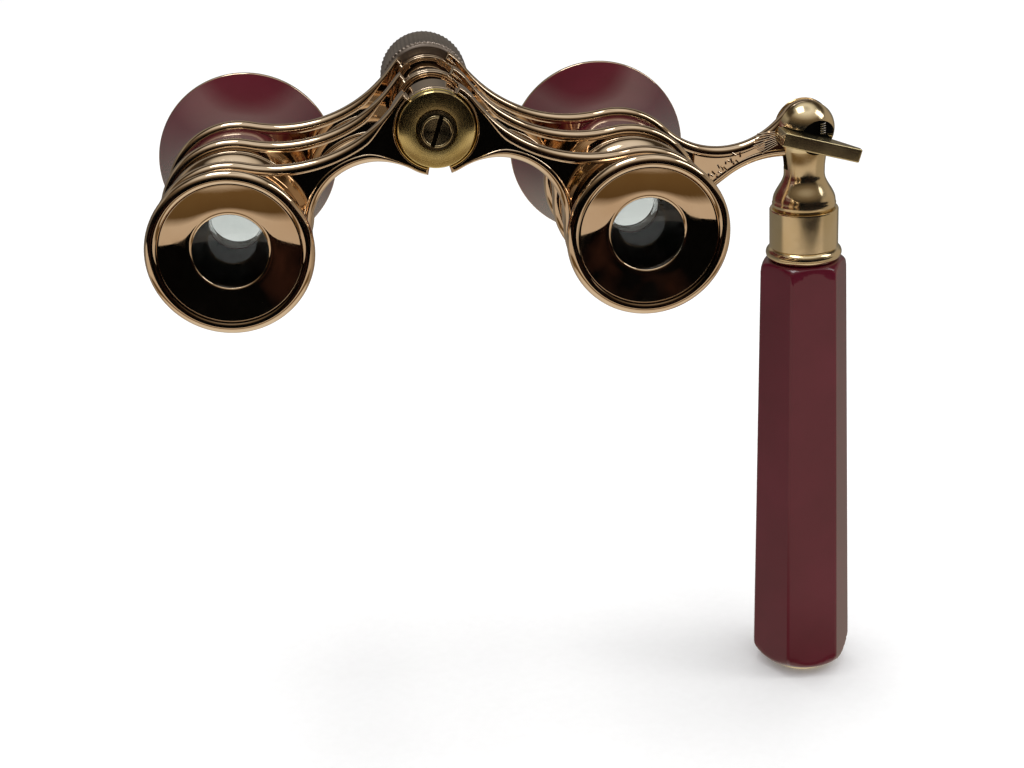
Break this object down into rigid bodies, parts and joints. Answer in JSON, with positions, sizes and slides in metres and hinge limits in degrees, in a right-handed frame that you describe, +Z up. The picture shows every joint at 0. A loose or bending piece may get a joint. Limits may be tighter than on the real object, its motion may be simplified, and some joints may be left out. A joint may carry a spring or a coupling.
{
  "type": "opera glasses",
  "caption": "Folding opera glasses on a side handle: two short telescopes on a hinged bridge, a focusing wheel and a faceted grip that swings out of the way.",
  "frame": {"origin": "midway between the two eyecups, in the plane of their widest circle", "axes": "+X to the viewer's right, +Y forward along the optical axes, +Z up with the handle hanging down"},
  "size_m": [0.1277, 0.0576, 0.1229],
  "materials": {
    "rose_gold": "mirror-polished rose gold plating",
    "pale_gold": "polished pale gold plating",
    "turned_brass": "bare brass with fine turning lines",
    "burgundy_enamel": "gloss burgundy enamel",
    "wheel_metal": "satin grey-brown, knurled",
    "black_interior": "matt black",
    "bright_steel": "bright steel",
    "coated_glass": "clear polished lens"
  },
  "bodies": {
    "left_half": {"left_barrel_tube": "burgundy_enamel", "left_objective_bell": "burgundy_enamel", "left_objective_bezel": "rose_gold", "left_objective_lens": "coated_glass", "left_lens_retainer": "black_interior", "left_front_arm": "rose_gold", "left_middle_arm": "rose_gold", "left_collar": "rose_gold", "hinge_tube": "rose_gold", "wheel_clip": "bright_steel"},
    "right_half": {"right_barrel_tube": "burgundy_enamel", "right_objective_bell": "burgundy_enamel", "right_objective_bezel": "rose_gold", "right_objective_lens": "coated_glass", "right_lens_retainer": "black_interior", "right_front_arm": "rose_gold", "right_middle_arm": "rose_gold", "right_collar": "rose_gold", "handle_pivot": "pale_gold"},
    "left_ocular": {"left_ocular_arm": "rose_gold", "left_eye_tube": "black_interior", "left_eyecup": "rose_gold", "left_eye_lens": "coated_glass", "focus_shaft": "bright_steel", "focus_sleeve": "rose_gold", "hinge_cap": "turned_brass", "hinge_spacer": "turned_brass", "screw_washer": "turned_brass", "hinge_screw": "turned_brass"},
    "right_ocular": {"right_ocular_arm": "rose_gold", "right_eye_tube": "black_interior", "right_eyecup": "rose_gold", "right_eye_lens": "coated_glass"},
    "wheel": {"focus_wheel": "wheel_metal", "wheel_cap": "rose_gold"},
    "handle": {"handle_head": "pale_gold", "lever_pin": "bright_steel", "lever_spring": "bright_steel", "ferrule": "pale_gold", "grip": "burgundy_enamel", "grip_rod": "bright_steel", "end_cap": "pale_gold"},
    "lever": {"release_lever": "pale_gold"}
  },
  "joints": [
    {"name": "eye_distance_hinge", "type": "hinge", "parent": "left_half", "child": "right_half", "pos_m": [0, 0.0277, 0.0165], "axis": [0, 1, 0], "range_deg": [-30, 24]},
    {"name": "focus_turn", "type": "hinge", "parent": "left_half", "child": "wheel", "pos_m": [0, 0.042, 0.0165], "axis": [0, 1, 0], "range_deg": [-135.2, 195.2]},
    {"name": "left_focus_slide", "type": "slide", "parent": "left_half", "child": "left_ocular", "axis": [0, 1, 0], "range_m": [-0.00225, 0.00325]},
    {"name": "right_focus_slide", "type": "slide", "parent": "right_half", "child": "right_ocular", "axis": [0, 1, 0], "range_m": [-0.0023, 0.0033]},
    {"name": "handle_fold", "type": "hinge", "parent": "right_half", "child": "handle", "pos_m": [0.0652, 0.0337, 0.0077], "axis": [0, -1, 0], "range_deg": [0, 230]},
    {"name": "lever_press", "type": "hinge", "parent": "handle", "child": "lever", "pos_m": [0.06183, 0.0305, 0.00703], "axis": [0, -1, 0], "range_deg": [0, 8], "stiffness_Nm_per_rad": 0.02, "springref_deg": -11.46, "deforming": ["lever_spring"]}
  ],
  "couplings": [
    {"joint": "focus_turn", "follows": "left_focus_slide", "rad_per_m": 1047.2},
    {"joint": "right_focus_slide", "follows": "left_focus_slide", "ratio": 1}
  ]
}
